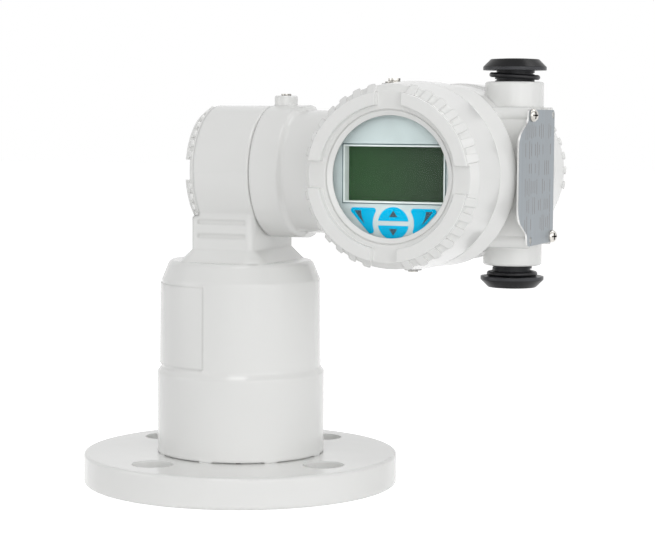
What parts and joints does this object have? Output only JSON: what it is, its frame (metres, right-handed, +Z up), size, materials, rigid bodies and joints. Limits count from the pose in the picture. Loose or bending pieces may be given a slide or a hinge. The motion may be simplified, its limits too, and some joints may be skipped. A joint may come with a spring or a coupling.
{
  "type": "laser level transmitter",
  "caption": "Flanged laser level transmitter: upright cast sensor housing with a swivelling display head, castellated screw covers, conduit entries and a steel rating plate.",
  "frame": {"origin": "centre of the flange's lower face, on the laser beam's axis", "axes": "+Z up along the beam axis, +X along the swivel axis towards the head, the display faces -Y"},
  "size_m": [0.243, 0.1782, 0.2219],
  "materials": {
    "enclosure_paint": "semi-gloss warm white powder coat on cast aluminium",
    "screw_steel": "turned stainless steel",
    "plate_steel": "brushed stainless sheet",
    "seal_rubber": "smooth black rubber",
    "plug_plastic": "moulded black plastic, satin",
    "clear_glass": "clear toughened glass",
    "lens_glass": "coated optical glass",
    "cement": "cured pale cement",
    "fascia_film": "pale grey-blue film with a fine satin grain",
    "bezel_plastic": "pale moulded plastic",
    "lcd_film": "dark green polarised glass",
    "key_film": "cyan-blue printed film",
    "module_plastic": "dark grey moulded plastic",
    "terminal_plastic": "green moulded plastic",
    "circuit_board": "green soldermask on glass-fibre board",
    "bare_aluminium": "turned aluminium",
    "black_aluminium": "black anodised aluminium",
    "post_brass": "turned brass"
  },
  "bodies": {
    "base": {"flange": "enclosure_paint", "flange_screws": "screw_steel", "window_seal": "seal_rubber", "process_window": "clear_glass", "window_ring": "bare_aluminium", "housing_seal": "seal_rubber", "sensor_housing": "enclosure_paint", "optics_carrier": "black_aluminium", "carrier_screws": "screw_steel", "transmit_lens": "lens_glass", "receive_lens": "lens_glass", "laser_module": "bare_aluminium", "receiver_cone": "black_aluminium", "photodetector": "module_plastic", "sensor_board": "circuit_board", "board_posts": "post_brass", "board_screws": "screw_steel", "swivel_seal": "seal_rubber"},
    "end_cap_travel": {"end_cap_seal": "seal_rubber"},
    "end_cap": {"end_cap": "enclosure_paint"},
    "head": {"head_housing": "enclosure_paint", "swivel_lock_screw": "screw_steel", "display_fascia": "fascia_film", "lcd_bezel": "bezel_plastic", "lcd_panel": "lcd_film", "left_soft_key": "key_film", "up_key": "key_film", "down_key": "key_film", "right_soft_key": "key_film", "display_housing": "module_plastic", "display_board": "circuit_board", "display_posts": "post_brass", "main_board": "circuit_board", "electronics_carrier": "module_plastic", "module_screws": "screw_steel", "feedthrough": "module_plastic", "terminal_block": "terminal_plastic", "terminal_screws": "screw_steel", "inner_ground_screw": "screw_steel", "front_lock_screw": "screw_steel", "rear_lock_screw": "screw_steel", "ground_screw": "screw_steel", "ground_clamp": "screw_steel", "name_plate": "plate_steel", "plate_screws": "screw_steel"},
    "front_cover_travel": {"front_cover_seal": "seal_rubber"},
    "front_cover": {"front_cover": "enclosure_paint", "window_cement": "cement", "front_window": "clear_glass"},
    "rear_cover_travel": {"rear_cover_seal": "seal_rubber"},
    "rear_cover": {"rear_cover": "enclosure_paint"},
    "upper_plug_travel": {"upper_plug_seal": "seal_rubber"},
    "upper_plug": {"upper_plug": "plug_plastic"},
    "lower_plug_travel": {"lower_plug_seal": "seal_rubber"},
    "lower_plug": {"lower_plug": "plug_plastic"}
  },
  "joints": [
    {"name": "head_swivel", "type": "hinge", "parent": "base", "child": "head", "pos_m": [0, 0, 0.164], "axis": [1, 0, 0], "range_deg": [-175, 175]},
    {"name": "front_cover_travel", "type": "slide", "parent": "head", "child": "front_cover_travel", "axis": [0, -1, 0], "range_m": [0, 0.01201]},
    {"name": "front_cover_turn", "type": "hinge", "parent": "front_cover_travel", "child": "front_cover", "pos_m": [0.106, -0.0336, 0.164], "axis": [0, -1, 0], "range_deg": [0, 2160]},
    {"name": "rear_cover_travel", "type": "slide", "parent": "head", "child": "rear_cover_travel", "axis": [0, 1, 0], "range_m": [0, 0.01201]},
    {"name": "rear_cover_turn", "type": "hinge", "parent": "rear_cover_travel", "child": "rear_cover", "pos_m": [0.106, 0.061, 0.164], "axis": [0, 1, 0], "range_deg": [0, 2160]},
    {"name": "upper_plug_travel", "type": "slide", "parent": "head", "child": "upper_plug_travel", "axis": [0, 0, 1], "range_m": [0, 0.01081]},
    {"name": "upper_plug_turn", "type": "hinge", "parent": "upper_plug_travel", "child": "upper_plug", "pos_m": [0.14, 0.027, 0.2105], "axis": [0, 0, 1], "range_deg": [0, 2160]},
    {"name": "lower_plug_travel", "type": "slide", "parent": "head", "child": "lower_plug_travel", "axis": [0, 0, -1], "range_m": [0, 0.01081]},
    {"name": "lower_plug_turn", "type": "hinge", "parent": "lower_plug_travel", "child": "lower_plug", "pos_m": [0.14, 0.027, 0.1175], "axis": [0, 0, -1], "range_deg": [0, 2160]},
    {"name": "end_cap_travel", "type": "slide", "parent": "base", "child": "end_cap_travel", "axis": [-1, 0, 0], "range_m": [0, 0.00901]},
    {"name": "end_cap_turn", "type": "hinge", "parent": "end_cap_travel", "child": "end_cap", "pos_m": [-0.0118, 0, 0.164], "axis": [-1, 0, 0], "range_deg": [0, 2160]}
  ],
  "couplings": [
    {"joint": "front_cover_travel", "follows": "front_cover_turn", "m_per_rad": 0.00031831},
    {"joint": "rear_cover_travel", "follows": "rear_cover_turn", "m_per_rad": 0.00031831},
    {"joint": "upper_plug_travel", "follows": "upper_plug_turn", "m_per_rad": 0.00028648},
    {"joint": "lower_plug_travel", "follows": "lower_plug_turn", "m_per_rad": 0.00028648},
    {"joint": "end_cap_travel", "follows": "end_cap_turn", "m_per_rad": 0.00023873}
  ]
}
